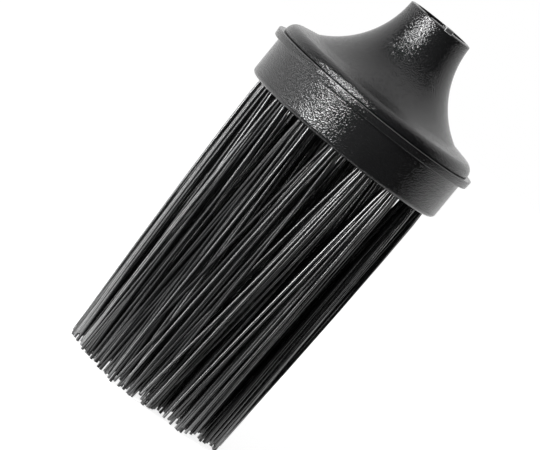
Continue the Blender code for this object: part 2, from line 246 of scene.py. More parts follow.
class BristleSizes(bpy.types.PropertyGroup):
    """Sizes of the filaments, and how they stray."""

    filament_radius: length("Filament radius", "Radius of one filament", 0.4)
    filaments: count("Filaments", "Filaments in each tuft", 24)
    sides: count("Sides", "Sides of a filament", 8)
    bends: count("Bends", "Points along a filament", 7)
    mouth_radius: length("Mouth radius", "Radius of a tuft where it leaves its hole", 2)
    tip_radius: length("Tip radius", "Radius of a tuft at its tips", 4.2)
    field_radius: length("Field radius", "Radius of all the tips together", 23.4)
    field_shift: length("Field shift", "How far to +X all the tips together lie", 0.7)
    tip_stray: length("Tip stray", "How far a tip may stray from its place", 3.2)
    tuft_stray: length("Tuft stray", "How far a whole tuft may lean aside", 1.8)
    bow: length("Bow", "How far a filament may bow aside", 0.5)
    splay: length("Splay", "How fast a tuft widens where it leaves its hole", 2.2)
    raggedness: length("Raggedness", "How far short a filament may be", 2.8)
    root_depth: length("Root depth", "How far the filaments run up into a hole", 4.6)
    draw_in: share("Draw in", "How far in the tufts stand at the tips, of their ring", 0.885)
    seed: count("Seed", "Seed of all that is random in the bristles", 7)


class FinishColours(bpy.types.PropertyGroup):
    """Colours and grain of the finishes."""

    moulding: colour("Moulding", "Black moulded plastic", (0.0065, 0.0066, 0.0068))
    filament: colour("Filament", "Black drawn filament", (0.009, 0.0092, 0.0095))
    wire: colour("Wire", "Drawn steel wire", (0.62, 0.62, 0.64))
    floor: colour("Floor", "Plain studio floor", (0.86, 0.86, 0.86))
    grain: length("Grain", "Width of one pebble of the eroded texture", 0.3)
    bell_grain_depth: length("Bell grain depth", "Depth of the bell's eroded texture", 0.12)
    block_grain_depth: length("Block grain depth", "Depth of the block's eroded texture", 0.1)
    moulding_roughness: share("Moulding roughness", "Roughness between the pebbles", 0.18)
    # The pale lug's colour, which also paints a highlight along the mouth's rim and the flange's edge
    worn: colour("Worn", "Plastic that wear has turned pale", (0.28, 0.28, 0.28))


class StudioSettings(bpy.types.PropertyGroup):
    """The camera and the lights."""

    distance: metres("Distance", "From the camera to the brush", CAMERA_DISTANCE_PX * PHOTO_SCALE)
    elevation: angle("Elevation", "How far the camera stands above the level", 6.4)
    roll: angle("Roll", "How far the camera is turned about its view", 39.4)
    aim_height: length("Aim height", "Height of the point in the middle of the view", 52.8)
    aim_side: offset("Aim side", "How far to +X the point in the middle of the view lies", -1.22 * MM)
    key_azimuth: angle("Key azimuth", "Where the key light stands, from the camera", -37)
    key_elevation: angle("Key elevation", "How far the key light stands above the level", 13)
    light_distance: metres("Light distance", "From either light to the brush", 0.7)
    light_width: metres("Light width", "Width of either light", 0.18)
    key_height: metres("Key height", "Height of the key light", 0.42)
    key_power: power("Key power", "Power of the key light", 9.5)
    low_azimuth: angle("Low azimuth", "Where the low light stands, from the camera", -75)
    low_elevation: angle("Low elevation", "How far the low light stands above the level", -12)
    low_height: metres("Low height", "Height of the low light", 0.2)
    low_power: power("Low power", "Power of the low light", 4.5)
    ambient: share("Ambient", "Strength of the even light from all round", 0.18)
    flag_distance: metres("Flag distance", "From the brush to the dark tent", 0.95)
    flag_gap: metres("Flag gap", "From the brush's axis to the dark cloth on the floor", 0.05)
    flag_reach: angle("Flag reach", "How far round each side the dark tent runs", 95)
    flag_height: angle("Flag height", "How far up the dark tent runs", 60)
    floor_radius: metres("Floor radius", "Radius of the floor", 1.5)
    floor_lift: share("Floor lift", "What the background adds to the lit floor", 0.86)


# Nodes


class Nodes:
    """Adds nodes to a tree, and feeds their sockets with values or with other nodes' results."""

    def __init__(self, tree):
        self.tree = tree

    def feed(self, socket, value):
        if isinstance(value, bpy.types.Node):
            value = value.outputs[0]
        if isinstance(value, bpy.types.NodeSocket):
            self.tree.links.new(value, socket)
        else:
            socket.default_value = value

    def add(self, kind, settings=None, **inputs):
        node = self.tree.nodes.new(kind)
        for name, value in (settings or {}).items():
            setattr(node, name, value)
        return self.fill(node, **inputs)

    def fill(self, node, **inputs):
        """Feeds a node's inputs by their names, with _ for a space."""
        for name, value in inputs.items():
            self.feed(node.inputs[name.replace("_", " ")], value)
        return node

    def operate(self, kind, operation, values):
        node = self.add(kind, {"operation": operation})
        for socket, value in zip(node.inputs, values):
            self.feed(socket, value)
        return node.outputs

    def maths(self, operation, *values):
        return self.operate("ShaderNodeMath", operation, values)[0]

    def vectors(self, operation, *values):
        outputs = self.operate("ShaderNodeVectorMath", operation, values)
        return outputs["Value" if operation == "LENGTH" else "Vector"]

    def scaled(self, vector, factor):
        node = self.add("ShaderNodeVectorMath", {"operation": "SCALE"}, Scale=factor)
        self.feed(node.inputs[0], vector)
        return node.outputs[0]

    def joined(self, x, y, z):
        return self.add("ShaderNodeCombineXYZ", X=x, Y=y, Z=z).outputs[0]


# Geometry Nodes


def geometry_tree(name, sockets):
    """A tree with these named inputs beside its geometry. Returns its nodes and its inputs."""
    tree = bpy.data.node_groups.new(name, "GeometryNodeTree")
    for way in ("INPUT", "OUTPUT"):
        tree.interface.new_socket("Geometry", in_out=way, socket_type="NodeSocketGeometry")
    for label, kind in sockets.items():
        tree.interface.new_socket(label, in_out="INPUT", socket_type="NodeSocket" + kind)
    nodes = Nodes(tree)
    return nodes, nodes.add("NodeGroupInput").outputs


def end_tree(nodes, geometry, finish):
    """Ends a tree with real geometry in its finish."""
    real = nodes.add("GeometryNodeRealizeInstances", Geometry=geometry)
    painted = nodes.add("GeometryNodeSetMaterial", Geometry=real, Material=finish)
    nodes.add("NodeGroupOutput", Geometry=painted)


def grown(name, base, tree, values):
    """Runs a tree on a mesh, and returns what it makes as a plain mesh."""
    holder = new_object(name + "_base", base)
    modifier = holder.modifiers.new(tree.name, "NODES")
    modifier.node_group = tree
    for item in tree.interface.items_tree:
        if item.in_out == "INPUT" and item.name in values:
            modifier[item.identifier] = values[item.name]
    graph = bpy.context.evaluated_depsgraph_get()
    mesh = bpy.data.meshes.new_from_object(holder.evaluated_get(graph), depsgraph=graph)
    mesh.name = name
    holder.modifiers.remove(modifier)
    bpy.data.objects.remove(holder)
    return mesh


def drilling_tree():
    """Drills round holes into a block, one at each point of an object."""
    sockets = {"Places": "Object", "Sides": "Int", "Radius": "Float", "Depth": "Float"}
    nodes, given = geometry_tree("drilled_holes", {**sockets, "Finish": "Material"})
    places = nodes.add("GeometryNodeObjectInfo", Object=given["Places"]).outputs["Geometry"]
    drill = nodes.add(
        "GeometryNodeMeshCylinder",
        Vertices=given["Sides"],
        Radius=given["Radius"],
        Depth=given["Depth"],
    )
    drills = nodes.add("GeometryNodeInstanceOnPoints", Points=places, Instance=drill)
    real = nodes.add("GeometryNodeRealizeInstances", Geometry=drills)
    cut = nodes.add(
        "GeometryNodeMeshBoolean",
        {"operation": "DIFFERENCE", "solver": "EXACT"},
        Mesh_1=given["Geometry"],
        Mesh_2=real,
    )
    end_tree(nodes, cut, given["Finish"])
    return nodes.tree


def rib_tree():
    """Joins upright ribs to a turned shell, spaced evenly about Z."""
    sockets = {"Rib": "Object", "Ribs": "Int", "Finish": "Material"}
    nodes, given = geometry_tree("radial_ribs", sockets)
    rib = nodes.add("GeometryNodeObjectInfo", Object=given["Rib"]).outputs["Geometry"]
    centre = nodes.add("GeometryNodeMeshLine", Count=given["Ribs"], Offset=(0, 0, 0))
    # The first rib stands half a step round from +X
    step = nodes.maths("DIVIDE", math.tau, given["Ribs"])
    number = nodes.maths("ADD", nodes.add("GeometryNodeInputIndex"), 0.5)
    turned_by = nodes.maths("MULTIPLY", number, step)
    turn = nodes.add("FunctionNodeAxisAngleToRotation", Axis=(0, 0, 1), Angle=turned_by)
    ribs = nodes.add("GeometryNodeInstanceOnPoints", Points=centre, Instance=rib, Rotation=turn)
    joined = nodes.add("GeometryNodeMeshBoolean", {"operation": "UNION", "solver": "EXACT"})
    real = nodes.add("GeometryNodeRealizeInstances", Geometry=ribs)
    nodes.feed(joined.inputs["Mesh 2"], given["Geometry"])
    nodes.feed(joined.inputs["Mesh 2"], real)
    end_tree(nodes, joined, given["Finish"])
    return nodes.tree


def random_value(nodes, kind, low, high, number, seed, stream):
    """A random float or vector for each filament, from its own stream of the seed."""
    node = nodes.add("FunctionNodeRandomValue", {"data_type": kind}, ID=number)
    names = {"FLOAT": ("Min_001", "Max_001"), "FLOAT_VECTOR": ("Min", "Max")}[kind]
    sockets = {socket.identifier: socket for socket in node.inputs}
    nodes.feed(sockets[names[0]], low)
    nodes.feed(sockets[names[1]], high)
    nodes.feed(node.inputs["Seed"], nodes.maths("ADD", seed, stream))
    return next(socket for socket in node.outputs if socket.enabled)


def bristle_tree():
    """Grows a tuft of filaments from each point, which carries the tuft's lean at the tips."""
    sockets = {"Face Height": "Float", "Seed": "Int", "Finish": "Material"}
    sockets.update(dict.fromkeys(BRISTLE_COUNTS, "Int"))
    sockets.update(dict.fromkeys(BRISTLE_REACHES, "Float"))
    nodes, given = geometry_tree("bristles", sockets)
    copies = nodes.add(
        "GeometryNodeDuplicateElements",
        {"domain": "POINT"},
        Geometry=given["Geometry"],
        Amount=given["Filaments"],
    )
    number = nodes.add("GeometryNodeInputIndex").outputs[0]
    place = nodes.add("GeometryNodeInputPosition").outputs[0]

    def noted(kind, name):
        node = nodes.add("GeometryNodeInputNamedAttribute", {"data_type": kind}, Name=name)
        return node.outputs["Attribute"]

    def stray(kind, low, high, stream):
        return random_value(nodes, kind, low, high, number, given["Seed"], stream)

    lean = noted("FLOAT_VECTOR", "lean")
    turn = noted("FLOAT", "turn")

    # Where each filament stands in its tuft, as a vector of up to one
    item = copies.outputs["Duplicate Index"]
    filled = nodes.maths("DIVIDE", nodes.maths("ADD", item, 0.5), given["Filaments"])
    reach = nodes.maths("SQRT", filled)
    spin = nodes.maths("ADD", nodes.maths("MULTIPLY", item, GOLDEN_TURN), turn)
    aim = nodes.joined(nodes.maths("COSINE", spin), nodes.maths("SINE", spin), 0.0)
    seat = nodes.scaled(aim, reach)
    mouth = nodes.vectors("ADD", place, nodes.scaled(seat, given["Mouth Radius"]))

    # Its tip, kept within the field
    drawn = nodes.vectors("MULTIPLY", place, nodes.joined(given["Draw In"], given["Draw In"], 0.0))
    middle = nodes.vectors("ADD", drawn, lean)
    scatter = nodes.scaled(stray("FLOAT_VECTOR", *ASIDE, TIP_STREAM), given["Tip Stray"])
    fanned = nodes.vectors("ADD", nodes.scaled(seat, given["Tip Radius"]), scatter)
    field = nodes.joined(given["Field Shift"], 0.0, 0.0)
    loose = nodes.vectors("SUBTRACT", nodes.vectors("ADD", middle, fanned), field)
    out = nodes.vectors("LENGTH", loose)
    kept = nodes.maths("MINIMUM", 1.0, nodes.maths("DIVIDE", given["Field Radius"], out))
    trim = stray("FLOAT", LEAST_SHORT, 1.0, SHORT_STREAM)
    short = nodes.maths("MULTIPLY", trim, given["Raggedness"])
    level = nodes.vectors("ADD", nodes.scaled(loose, kept), field)
    tip = nodes.vectors("ADD", level, nodes.joined(0.0, 0.0, short))

    bow = nodes.scaled(stray("FLOAT_VECTOR", *ASIDE, BOW_STREAM), given["Bow"])
    tone = stray("FLOAT", 0.0, 1.0, TONE_STREAM)
    toned = nodes.add(
        "GeometryNodeStoreNamedAttribute",
        {"data_type": "FLOAT", "domain": "POINT"},
        Geometry=copies,
        Name="tone",
        Value=tone,
    )
    splay = nodes.scaled(seat, given["Splay"])
    carried = nodes.add("GeometryNodeCaptureAttribute", {"domain": "POINT"}, Geometry=toned)
    for label, value in (("mouth", mouth), ("tip", tip), ("bow", bow), ("splay", splay)):
        carried.capture_items.new("VECTOR", label)
        nodes.feed(carried.inputs[label], value)
    points, mouth, tip, bow, splay = (
        carried.outputs[label] for label in ("Geometry", "mouth", "tip", "bow", "splay")
    )

    line = nodes.add("GeometryNodeCurvePrimitiveLine", End=(0, 0, 1))
    strand = nodes.add("GeometryNodeResampleCurve", Curve=line, Count=given["Bends"])
    strands = nodes.add("GeometryNodeInstanceOnPoints", Points=points, Instance=strand)
    curves = nodes.add("GeometryNodeRealizeInstances", Geometry=strands)

    # Along each filament, from its root inside the hole, past the hole's mouth, to its tip
    factor = nodes.add("GeometryNodeSplineParameter").outputs["Factor"]
    along = nodes.maths("POWER", factor, CROWDING)
    sunk = nodes.maths("DIVIDE", given["Root Depth"], given["Face Height"])
    run = nodes.maths("MULTIPLY", along, nodes.maths("ADD", 1.0, sunk))
    past = nodes.maths("SUBTRACT", run, sunk)
    way = nodes.vectors("SUBTRACT", tip, mouth)
    straight = nodes.vectors("ADD", mouth, nodes.scaled(way, past))

    # Past the mouth it bows aside, most in its middle, and splays out of its tuft
    free = nodes.maths("MAXIMUM", past, 0.0)
    left = nodes.maths("SUBTRACT", HUMP, nodes.maths("MULTIPLY", free, HUMP))
    hump = nodes.maths("MULTIPLY", free, left)
    bowed = nodes.vectors("ADD", straight, nodes.scaled(bow, hump))
    flare = nodes.maths("SUBTRACT", nodes.maths("SQRT", free), free)
    splayed = nodes.vectors("ADD", bowed, nodes.scaled(splay, flare))
    laid = nodes.add("GeometryNodeSetPosition", Geometry=curves, Position=splayed)
    profile = nodes.add(
        "GeometryNodeCurvePrimitiveCircle",
        Resolution=given["Sides"],
        Radius=given["Filament Radius"],
    )
    solid = nodes.add("GeometryNodeCurveToMesh", Curve=laid, Profile_Curve=profile, Fill_Caps=True)
    end_tree(nodes, solid, given["Finish"])
    return nodes.tree


# Meshes


def new_object(name, mesh):
    """An object at the origin. It takes the place of an older one of the same name."""
    if name in bpy.data.objects:
        bpy.data.objects.remove(bpy.data.objects[name])
    made = bpy.data.objects.new(name, mesh)
    bpy.context.scene.collection.objects.link(made)
    return made


def mesh_of(name, shape):
    """A shape as a mesh, with its faces pointing outwards."""
    bmesh.ops.recalc_face_normals(shape, faces=shape.faces)
    mesh = bpy.data.meshes.new(name)
    shape.to_mesh(mesh)
    shape.free()
    return mesh


def object_of(name, shape):
    return new_object(name, mesh_of(name, shape))


def smoothed(mesh):
    mesh.shade_smooth()
    mesh.set_sharp_from_angle(angle=SMOOTH_ANGLE)
    return mesh


def arc(centre, radius, start, end, steps):
    """Points along an arc in the plane of radius and height. Angles count from outwards to up."""
    angles = [start + (end - start) * i / steps for i in range(steps + 1)]
    x, y = centre
    return [(x + radius * math.cos(a), y + radius * math.sin(a)) for a in angles]


def softened(outline, reach, closed):
    """Rounds the corners of an outline, each round starting at most this far from its corner."""
    points = [Vector(point) for point in outline]
    soft = []
    for i, corner in enumerate(points):
        if not closed and i in (0, len(points) - 1):
            soft.append(corner)
            continue
        before = points[i - 1] - corner
        after = points[(i + 1) % len(points)] - corner
        if math.pi - before.angle(after) < CORNER_ANGLE:
            soft.append(corner)
            continue
        start = corner + before.normalized() * min(reach, before.length * CORNER_SHARE)
        end = corner + after.normalized() * min(reach, after.length * CORNER_SHARE)
        for step in range(EDGE_STEPS + 1):
            t = step / EDGE_STEPS
            soft.append(start.lerp(corner, t).lerp(corner.lerp(end, t), t))
    return soft


def turned(outline, closed):
    """Turns (radius, height) points about Z. An open outline gets a flat face at each end."""
    shape = bmesh.new()
    corners = [shape.verts.new((r, 0, z)) for r, z in outline]
    ends = corners[1:] + corners[:1] if closed else corners[1:]
    sides = [shape.edges.new(pair) for pair in zip(corners, ends)]
    bmesh.ops.spin(
        shape,
        geom=corners + sides,
        cent=(0, 0, 0),
        axis=(0, 0, 1),
        angle=math.tau,
        steps=TURN_STEPS,
        use_merge=True,
    )
    bmesh.ops.remove_doubles(shape, verts=shape.verts, dist=WELD)
    rims = [edge for edge in shape.edges if edge.is_boundary]
    if rims:
        bmesh.ops.holes_fill(shape, edges=rims, sides=0)
    return shape


def radial_place(radius, turn, height):
    """A frame at this radius, turn and height, with its X axis outwards."""
    return Matrix.Rotation(turn, 4, "Z") @ Matrix.Translation((radius, 0, height))


def boxed(size, place, bevel=0.0):
    """A box of this size in a frame."""
    shape = bmesh.new()
    bmesh.ops.create_cube(shape, size=1, matrix=place @ Matrix.Diagonal((*size, 1)))
    if bevel:
        bmesh.ops.bevel(
            shape,
            geom=shape.edges[:],
            offset=bevel,
            segments=BEVEL_STEPS,
            profile=ROUND_PROFILE,
            affect="EDGES",
        )
    return shape


def carved(name, mesh, changes):
    """A mesh after Booleans with other shapes, given as (shape, operation) pairs."""
    body = new_object(name + "_body", mesh)
    tools = []
    for i, (shape, operation) in enumerate(changes):
        tools.append(object_of(f"{name}_tool_{i}", shape))
        modifier = body.modifiers.new(tools[-1].name, "BOOLEAN")
        modifier.operation = operation
        modifier.solver = "EXACT"
        modifier.object = tools[-1]
    graph = bpy.context.evaluated_depsgraph_get()
    result = bpy.data.meshes.new_from_object(body.evaluated_get(graph), depsgraph=graph)
    result.name = name
    for thing in (body, *tools):
        bpy.data.objects.remove(thing)
    return result


def note(mesh, name, kind, domain, values):
    """Notes a number or a vector on each point or face of a mesh."""
    data = mesh.attributes.new(name, kind, domain).data
    data.foreach_set("vector" if kind == "FLOAT_VECTOR" else "value", values)


def note_pale_and_highlight(mesh, pale_and_highlight):
    """Notes on each face how pale it is, for the pale lug and the painted highlight along edges, from
    a function of the face's middle.
    """
    note(mesh, "worn", "FLOAT", "FACE", [pale_and_highlight(face.center) for face in mesh.polygons])


def nodes_named(word):
    return sorted(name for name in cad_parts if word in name)


def hole_places(ring=""):
    """The middle of each drilled hole in the drilled face. The wire anchors stand across them."""
    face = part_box("brush_block")[0].z
    places = []
    for node in nodes_named(ring + "_anchor_"):
        low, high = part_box(node)
        x, y = ((low + high) / 2).xy
        places.append(Vector((x, y, face)))
    return places


# Outlines of the mouldings


def moulding_places(sizes):
    """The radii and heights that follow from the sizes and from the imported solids."""
    at = SimpleNamespace()
    block_low, block_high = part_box("brush_block")
    at.flange = block_high.x
    at.skirt = at.flange - sizes.flange_reach
    at.groove = at.skirt - sizes.rim_wall
    at.spigot = at.groove - sizes.clearance
    at.spigot_bore = at.spigot - sizes.spigot_wall
    at.neck = sizes.bore_radius + sizes.neck_wall
    at.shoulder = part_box("socket_bell")[1].x
    at.flare = (at.shoulder - sizes.shoulder_tread - at.neck) / (1 - math.cos(sizes.flare_sweep))
    at.flare_centre = at.neck + at.flare
    at.face = block_low.z
    at.top = block_high.z - sizes.seat_height
    at.seat = at.top + sizes.clearance
    at.mouth = at.seat + sizes.shoulder_drop + at.flare * math.sin(sizes.flare_sweep)
    return at


def shoulder_touch(sizes, at):
    """The shoulder round's middle, and the angle where the cone from the flare runs on to it."""
    end = at.flare_centre - at.flare * math.cos(sizes.flare_sweep)
    centre = at.shoulder - sizes.shoulder_round
    across = end - centre
    up = sizes.shoulder_drop - sizes.shoulder_land
    touch = math.atan2(up, across) - math.acos(sizes.shoulder_round / math.hypot(across, up))
    return (centre, at.seat + sizes.shoulder_land), touch


def hollow_curve(at, wall, start, end):
    """The inside of the flared shell from one radius out to another, for this wall."""
    reach = at.flare + wall
    angles = [math.pi + math.acos((at.flare_centre - r) / reach) for r in (start, end)]
    return arc((at.flare_centre, at.mouth), reach, *angles, ROUND_STEPS)


def hollow_rim(sizes, at, wall):
    """Where the inside of the flare ends, and where that of the shoulder meets the spigot."""
    flare_end = at.flare_centre - (at.flare + wall) * math.cos(sizes.flare_sweep)
    centre, touch = shoulder_touch(sizes, at)
    across = centre[0] + (sizes.shoulder_round - wall) * math.cos(touch)
    up = centre[1] + (sizes.shoulder_round - wall) * math.sin(touch)
    meet = at.spigot_bore + sizes.wall - wall
    return flare_end, (meet, up - (meet - across) / math.tan(touch))


def bell_outline(sizes, at):
    """The bell's closed outline, from its mouth down the outside and up the inside."""
    mouth = [
        (at.neck - sizes.mouth_round * (1 - r), at.mouth - sizes.mouth_drop * (1 - z))
        for r, z in arc((0, 0), 1, math.pi / 2, 0, ROUND_STEPS)
    ]
    flare = arc(
        (at.flare_centre, at.mouth),
        at.flare,
        math.pi + math.asin(sizes.mouth_drop / at.flare),
        math.pi + sizes.flare_sweep,
        FLARE_STEPS,
    )
    centre, touch = shoulder_touch(sizes, at)
    rounded = arc(centre, sizes.shoulder_round, touch, 0, ROUND_STEPS)
    foot = at.seat - sizes.groove_depth
    snap = at.top - sizes.groove_depth / 2
    spigot = [
        (at.shoulder, at.top + sizes.seam_gap),
        (at.groove, at.top + sizes.seam_gap),
        (at.groove, at.seat),
        (at.spigot, at.seat),
        (at.spigot, snap + sizes.snap_height),
        (at.spigot + sizes.snap_height, snap),
        (at.spigot, snap - sizes.snap_height),
        (at.spigot, foot),
        (at.spigot_bore, foot),
    ]
    flare_end, meet = hollow_rim(sizes, at, sizes.wall)
    ring = (at.neck + at.spigot_bore) / 2
    ring_low = at.seat + sizes.rib_rise
    inside, outside = ring - sizes.rib_thickness / 2, ring + sizes.rib_thickness / 2
    hollow = (
        [meet]
        + hollow_curve(at, sizes.wall, flare_end, outside)
        + [(outside, ring_low), (inside, ring_low)]
        + hollow_curve(at, sizes.wall, inside, at.neck + sizes.hollow_root)
    )
    tube = [
        (at.neck, hollow[-1][1]),
        (at.neck, at.seat),
        (sizes.bore_radius, at.seat),
        (sizes.bore_radius, at.mouth - sizes.mouth_chamfer),
        (sizes.bore_radius + sizes.mouth_chamfer, at.mouth),
    ]
    outline = mouth + flare[1:] + rounded + spigot + hollow + tube
    return softened(outline, sizes.edge_round, True)


def rib_plate(sizes, at):
    """One rib, a flat plate from the socket's wall out under the shell."""
    wall = sizes.wall - sizes.rib_sink
    inner = at.neck - sizes.rib_sink
    flare_end, meet = hollow_rim(sizes, at, wall)
    roof = hollow_curve(at, wall, at.neck + sizes.hollow_root, flare_end)
    low = at.seat + sizes.rib_rise
    outline = [(inner, low), (inner, roof[0][1])] + roof + [meet, (meet[0], low)]
    shape = bmesh.new()
    side = shape.faces.new([shape.verts.new((r, -sizes.rib_thickness / 2, z)) for r, z in outline])
    grown_side = bmesh.ops.extrude_face_region(shape, geom=[side])["geom"]
    corners = [part for part in grown_side if isinstance(part, bmesh.types.BMVert)]
    bmesh.ops.translate(shape, verts=corners, vec=(0, sizes.rib_thickness, 0))
    return shape


def block_outline(sizes, at):
    """The block's outline, from the seat on its top outwards and down to the drilled face."""
    under = at.top - sizes.flange_thickness
    floor = at.top - sizes.groove_depth
    snap = at.top - sizes.groove_depth / 2
    inner = at.spigot_bore - sizes.clearance
    boss = sizes.bore_radius - sizes.clearance
    outline = [
        (boss - CAP_INSET, at.top + sizes.seat_height),
        (boss, at.top + sizes.seat_height),
        (boss, at.top),
        (inner, at.top),
        (inner, floor),
        (at.groove, floor),
        (at.groove, snap - sizes.snap_height),
        (at.groove + sizes.snap_height, snap),
        (at.groove, snap + sizes.snap_height),
        (at.groove, at.top),
        (at.flange, at.top),
        (at.flange - sizes.flange_draft, under),
        (at.skirt, under),
    ]
    foot = arc(
        (at.skirt - sizes.skirt_round, at.face + sizes.skirt_round),
        sizes.skirt_round,
        0,
        -math.pi / 2,
        ROUND_STEPS,
    )
    return softened(outline + foot, sizes.edge_round, False)


# Finishes


def new_material(name):
    """Returns a material, its nodes, its Principled shader and the Object coordinates."""
    made = bpy.data.materials.new(name)
    made.use_nodes = True
    nodes = Nodes(made.node_tree)
    spot = nodes.add("ShaderNodeTexCoord").outputs["Object"]
    return made, nodes, made.node_tree.nodes["Principled BSDF"], spot


def emptied(owner):
    """Clears the nodes of a material or a world."""
    owner.use_nodes = True
    owner.node_tree.nodes.clear()
    return Nodes(owner.node_tree)


def noise(nodes, vector, size, detail=2.0):
    """Noise whose features are about this wide."""
    made = nodes.add("ShaderNodeTexNoise", Vector=vector, Scale=1 / size, Detail=detail)
    return made.outputs["Fac"]


def attribute(nodes, name):
    return nodes.add("ShaderNodeAttribute", {"attribute_name": name}).outputs["Fac"]


def bumped(nodes, height, strength, depth):
    return nodes.add("ShaderNodeBump", Strength=strength, Distance=depth, Height=height)


def between(nodes, factor, low, high):
    """A number from low to high as the factor goes from 0 to 1."""
    return nodes.add("ShaderNodeMapRange", Value=factor, To_Min=low, To_Max=high).outputs[0]


def shaded(nodes, factor, base, dark, light):
    """The base colour times a number from dark to light as the factor goes from 0 to 1."""
    return nodes.scaled(tuple(base), between(nodes, factor, dark, light))


def moulded_plastic(name, colours, grain_depth):
    """Black plastic from a spark-eroded mould, covered with fine glossy pebbles, with a pale lug and
    a painted highlight along its edges.
    """
    made, nodes, shader, spot = new_material(name)
    clouds = noise(nodes, spot, CLOUD_WIDTH)
    pebbles = noise(nodes, spot, colours.grain, detail=0.0)
    black = shaded(nodes, clouds, colours.moulding, *CLOUD_TONES)
    # The pale lug, and a painted highlight along the edges, broken up by noise
    breakup = between(nodes, noise(nodes, spot, BREAKUP_WIDTH), *BREAKUP_TONES)
    worn = nodes.maths("MULTIPLY", attribute(nodes, "worn"), breakup)
    low, high = (part * colours.moulding_roughness for part in CLOUD_ROUGHNESS)
    nodes.fill(
        shader,
        Base_Color=nodes.vectors("ADD", black, nodes.scaled(tuple(colours.worn), worn)),
        Roughness=between(nodes, clouds, low, high),
        Normal=bumped(nodes, pebbles, strength=1.0, depth=grain_depth),
    )
    return made


def drawn_filament(colours):
    """Black drawn filament: each one has its own depth of black and fine lines along it."""
    made, nodes, shader, spot = new_material("filament_black")
    tone = attribute(nodes, "tone")
    stretched = nodes.add("ShaderNodeMapping", Vector=spot, Scale=LINE_STRETCH)
    lines = noise(nodes, stretched, LINE_WIDTH, detail=3.0)
    gloss = between(nodes, nodes.maths("POWER", tone, GLOSS_POWER), *FILAMENT_GLOSS)
    nodes.fill(
        shader,
        Base_Color=shaded(nodes, tone, colours.filament, *FILAMENT_TONES),
        Roughness=between(nodes, lines, *LINE_ROUGHNESS),
        Normal=bumped(nodes, lines, *LINE_BUMP),
        Specular_IOR_Level=gloss,
        IOR=FILAMENT_IOR,
    )
    return made


def drawn_wire(colours):
    """Flat steel wire with faint marks from its drawing."""
    made, nodes, shader, spot = new_material("anchor_steel")
    marks = noise(nodes, spot, MARK_WIDTH, detail=4.0)
    nodes.fill(
        shader,
        Base_Color=shaded(nodes, marks, colours.wire, *MARK_TONES),
        Roughness=between(nodes, marks, *MARK_ROUGHNESS),
        Normal=bumped(nodes, marks, *MARK_BUMP),
        Metallic=1.0,
    )
    return made


def velvet():
    """Black velvet, with a faint weave."""
    made, nodes, shader, spot = new_material("flag_black")
    weave = shaded(nodes, noise(nodes, spot, WEAVE_WIDTH), VELVET, *WEAVE_TONES)
    nodes.fill(shader, Base_Color=weave, Roughness=1.0, Specular_IOR_Level=0.0)
    return made


def background_rays(nodes):
    """1 for the rays that see the white background, and 0 for those that carry its light."""
    rays = nodes.add("ShaderNodeLightPath").outputs
    mirrored = nodes.maths("ADD", rays["Is Glossy Ray"], rays["Is Transmission Ray"])
    return nodes.maths("MINIMUM", nodes.maths("ADD", rays["Is Camera Ray"], mirrored), 1.0)


def studio_floor(colours, studio):
    """A pale floor that keeps the shadow, with the white of the background added to it."""
    made = bpy.data.materials.new("studio_floor")
    nodes = emptied(made)
    spot = nodes.add("ShaderNodeTexCoord").outputs["Object"]
    paper = shaded(nodes, noise(nodes, spot, PAPER_WIDTH), colours.floor, *PAPER_TONES)
    lift = nodes.maths("MULTIPLY", background_rays(nodes), studio.floor_lift)
    front = nodes.add("ShaderNodeAddShader")
    nodes.feed(front.inputs[0], nodes.add("ShaderNodeBsdfDiffuse", Color=paper))
    nodes.feed(front.inputs[1], nodes.add("ShaderNodeEmission", Strength=lift))
    back = nodes.add("ShaderNodeNewGeometry").outputs["Backfacing"]
    sides = nodes.add("ShaderNodeMixShader", Fac=back)
    nodes.feed(sides.inputs[1], front)
    nodes.feed(sides.inputs[2], nodes.add("ShaderNodeBsdfTransparent"))
    nodes.add("ShaderNodeOutputMaterial", Surface=sides)
    return made


# Stage


def light_world(studio):
    """Even light from all round, in front of a white background."""
    world = bpy.data.worlds.new("studio_world")
    nodes = emptied(world)
    strength = between(nodes, background_rays(nodes), studio.ambient, 1.0)
    sky = nodes.add("ShaderNodeBackground", Color=(1, 1, 1, 1), Strength=strength)
    nodes.add("ShaderNodeOutputWorld", Surface=sky)
    bpy.context.scene.world = world


def direction(azimuth, elevation):
    """Points from the brush to a place at this azimuth and elevation. Azimuth 0 is at -Y."""
    level = math.cos(elevation)
    return Vector((math.sin(azimuth) * level, -math.cos(azimuth) * level, math.sin(elevation)))


def place_looking(name, data, target, towards, distance, roll=0.0):
    """Puts a lamp or a camera at this distance from a point, looking at it."""
    made = new_object(name, data)
    look = (-towards).to_track_quat("-Z", "Y")
    made.rotation_mode = "QUATERNION"
    made.rotation_quaternion = look @ Quaternion((0, 0, 1), roll)
    made.location = target + towards * distance
    return made


def add_camera(studio):
    lens = bpy.data.cameras.new("photo_camera")
    lens.sensor_width = SENSOR_WIDTH_MM
    lens.lens = SENSOR_WIDTH_MM * studio.distance / (FRAME_WIDTH_PX * PHOTO_SCALE)
    lens.clip_start, lens.clip_end = (studio.distance * part for part in CLIP_RANGE)
    aim = Vector((studio.aim_side, 0, studio.aim_height))
    towards = direction(0, studio.elevation)
    bpy.context.scene.camera = place_looking(
        "photo_camera", lens, aim, towards, studio.distance, studio.roll
    )


def add_lamp(studio, light):
    """An upright strip of light, whose settings are named for the key or the low light."""
    azimuth, elevation, height, watts = (
        getattr(studio, f"{light}_{part}") for part in ("azimuth", "elevation", "height", "power")
    )
    lamp = bpy.data.lights.new(light + "_light", "AREA")
    lamp.shape = "RECTANGLE"
    lamp.size = studio.light_width
    lamp.size_y = height
    lamp.energy = watts
    aim = Vector((0, 0, studio.aim_height))
    place_looking(lamp.name, lamp, aim, direction(azimuth, elevation), studio.light_distance)


